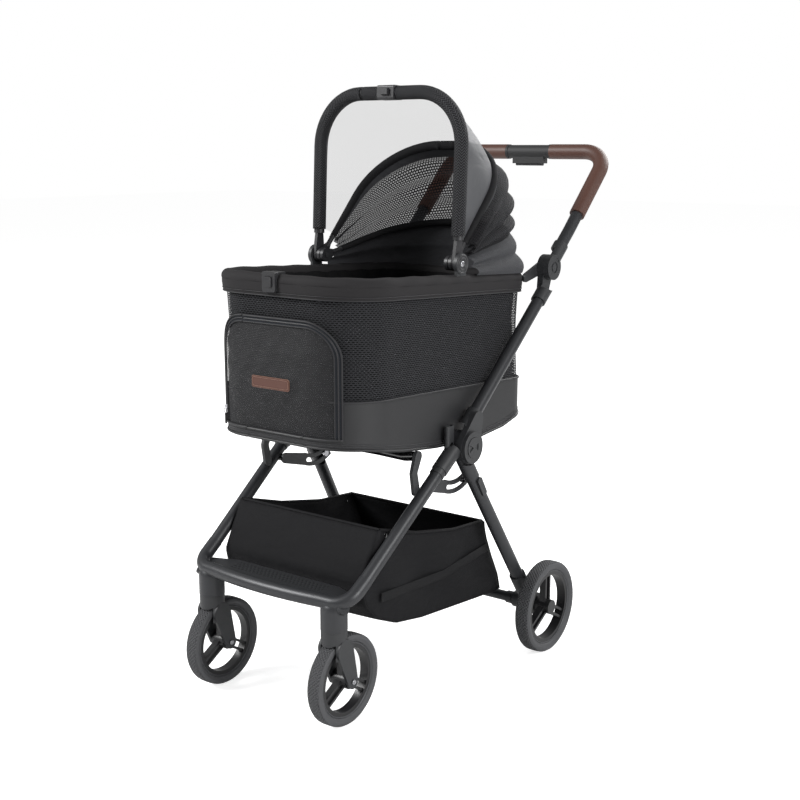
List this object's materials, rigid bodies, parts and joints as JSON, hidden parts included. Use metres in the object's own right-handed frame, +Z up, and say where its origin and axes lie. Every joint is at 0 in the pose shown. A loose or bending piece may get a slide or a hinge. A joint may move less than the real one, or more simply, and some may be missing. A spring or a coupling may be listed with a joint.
{
  "type": "pet stroller",
  "caption": "Folding pet stroller with a mesh fabric carrier, zip door, folding hood, storage basket, swivel front casters and a hinged push handle.",
  "frame": {"origin": "on the floor, under the middle of the bounding box", "axes": "+Z up, front faces -Y, +X is the left hand of the person who pushes"},
  "size_m": [0.565, 0.963, 1.1451],
  "materials": {
    "frame_metal": "satin dark grey powder coat",
    "gloss_metal": "gloss black paint",
    "dark_plastic": "fine matt grain",
    "sleeve_rubber": "matt foam rubber",
    "grip_leather": "stitched brown leather",
    "steel": "zinc-plated steel",
    "wheel_plastic": "satin black moulding",
    "tyre_foam": "grey solid foam tyre",
    "black_fabric": "woven polyester and mesh",
    "woven_sleeve": "woven sleeve over the hoop",
    "floor_board": "stiff board",
    "mat_fabric": "padded mat cover"
  },
  "bodies": {
    "frame": {"front_leg_left": "frame_metal", "front_leg_right": "frame_metal", "front_crossbar": "frame_metal", "footrest_plate": "dark_plastic", "corner_elbow_left": "dark_plastic", "corner_elbow_right": "dark_plastic", "hub_housing_left": "dark_plastic", "hub_housing_right": "dark_plastic", "hub_caps": "dark_plastic", "leg_collars": "dark_plastic", "lower_handle_left": "frame_metal", "lower_handle_right": "frame_metal", "knuckle_lower_left": "dark_plastic", "knuckle_lower_right": "dark_plastic", "rim_frame": "frame_metal", "rim_cover": "black_fabric", "rim_brackets": "frame_metal", "carrier_walls": "black_fabric", "carrier_floor": "floor_board", "carrier_mat": "mat_fabric", "latch_housing": "dark_plastic", "base_loop": "gloss_metal", "base_arms": "dark_plastic", "base_posts": "dark_plastic", "slot_plates": "frame_metal", "canopy_pivots": "dark_plastic", "canopy_rear_bow": "frame_metal", "canopy_rear": "black_fabric", "storage_basket": "black_fabric", "hinge_pins": "steel"},
    "rear_legs": {"rear_leg_left": "frame_metal", "rear_leg_right": "frame_metal", "rear_axle_tube": "frame_metal", "wheel_bracket_left": "dark_plastic", "wheel_bracket_right": "dark_plastic", "rear_pins": "steel"},
    "handle": {"upper_handle": "frame_metal", "handle_grips": "grip_leather", "handle_sleeve": "sleeve_rubber", "knuckle_upper": "dark_plastic"},
    "trigger": {"handle_trigger": "dark_plastic"},
    "latch_push": {"latch_button": "dark_plastic"},
    "leg_push_left": {"leg_button_left": "dark_plastic"},
    "leg_push_right": {"leg_button_right": "dark_plastic"},
    "brake": {"brake_pedal": "dark_plastic"},
    "door": {"front_door": "black_fabric"},
    "mid_bow": {"canopy_mid_bow": "frame_metal", "canopy_window": "black_fabric"},
    "hoop": {"canopy_hoop": "woven_sleeve", "hoop_buckle": "dark_plastic"},
    "caster_left": {"caster_fork_left": "dark_plastic"},
    "caster_right": {"caster_fork_right": "dark_plastic"},
    "front_roller_left": {"front_wheel_left": "wheel_plastic", "front_tyre_left": "tyre_foam"},
    "front_roller_right": {"front_wheel_right": "wheel_plastic", "front_tyre_right": "tyre_foam"},
    "rear_roller_left": {"rear_wheel_left": "wheel_plastic", "rear_tyre_left": "tyre_foam"},
    "rear_roller_right": {"rear_wheel_right": "wheel_plastic", "rear_tyre_right": "tyre_foam"}
  },
  "joints": [
    {"name": "handle_fold", "type": "hinge", "parent": "frame", "child": "handle", "pos_m": [0, 0.21916, 0.7862], "axis": [1, 0, 0], "range_deg": [-105, 0]},
    {"name": "rear_leg_fold", "type": "hinge", "parent": "frame", "child": "rear_legs", "pos_m": [0, -0.086, 0.466], "axis": [1, 0, 0], "range_deg": [-39, 0], "deforming": ["storage_basket"]},
    {"name": "canopy_bow_fold", "type": "hinge", "parent": "frame", "child": "mid_bow", "pos_m": [0, -0.072, 0.813], "axis": [1, 0, 0], "range_deg": [-15.5, 40], "deforming": ["canopy_rear"]},
    {"name": "canopy_hoop_fold", "type": "hinge", "parent": "mid_bow", "child": "hoop", "pos_m": [0, -0.072, 0.813], "axis": [1, 0, 0], "range_deg": [-18, 48], "deforming": ["canopy_window"]},
    {"name": "door_swing", "type": "hinge", "parent": "frame", "child": "door", "pos_m": [0, -0.3978, 0.522], "axis": [1, 0, 0], "range_deg": [0, 100]},
    {"name": "caster_swivel_left", "type": "hinge", "parent": "frame", "child": "caster_left", "pos_m": [0.153, -0.4195, 0.189], "axis": [0, 0, 1], "continuous": true},
    {"name": "front_wheel_spin_left", "type": "hinge", "parent": "caster_left", "child": "front_roller_left", "pos_m": [0.153, -0.3955, 0.086], "axis": [1, 0, 0], "continuous": true},
    {"name": "rear_wheel_spin_left", "type": "hinge", "parent": "rear_legs", "child": "rear_roller_left", "pos_m": [0.266, 0.123, 0.095], "axis": [1, 0, 0], "continuous": true},
    {"name": "leg_button_press_left", "type": "slide", "parent": "rear_legs", "child": "leg_push_left", "axis": [-1, 0, 0], "range_m": [0, 0.003], "stiffness_N_per_m": 400},
    {"name": "caster_swivel_right", "type": "hinge", "parent": "frame", "child": "caster_right", "pos_m": [-0.153, -0.4195, 0.189], "axis": [0, 0, 1], "continuous": true},
    {"name": "front_wheel_spin_right", "type": "hinge", "parent": "caster_right", "child": "front_roller_right", "pos_m": [-0.153, -0.3955, 0.086], "axis": [1, 0, 0], "continuous": true},
    {"name": "rear_wheel_spin_right", "type": "hinge", "parent": "rear_legs", "child": "rear_roller_right", "pos_m": [-0.266, 0.123, 0.095], "axis": [1, 0, 0], "continuous": true},
    {"name": "leg_button_press_right", "type": "slide", "parent": "rear_legs", "child": "leg_push_right", "axis": [1, 0, 0], "range_m": [0, 0.003], "stiffness_N_per_m": 400},
    {"name": "latch_press", "type": "slide", "parent": "frame", "child": "latch_push", "axis": [0, 1, 0], "range_m": [0, 0.003], "stiffness_N_per_m": 400},
    {"name": "trigger_squeeze", "type": "slide", "parent": "handle", "child": "trigger", "axis": [0, 0, 1], "range_m": [0, 0.005], "stiffness_N_per_m": 500},
    {"name": "brake_press", "type": "hinge", "parent": "rear_legs", "child": "brake", "pos_m": [0.203, 0.123, 0.095], "axis": [1, 0, 0], "range_deg": [-18, 0]}
  ],
  "couplings": [
    {"joint": "rear_leg_fold", "follows": "handle_fold", "ratio": 0.3714},
    {"joint": "canopy_bow_fold", "follows": "canopy_hoop_fold", "ratio": 0.83}
  ]
}
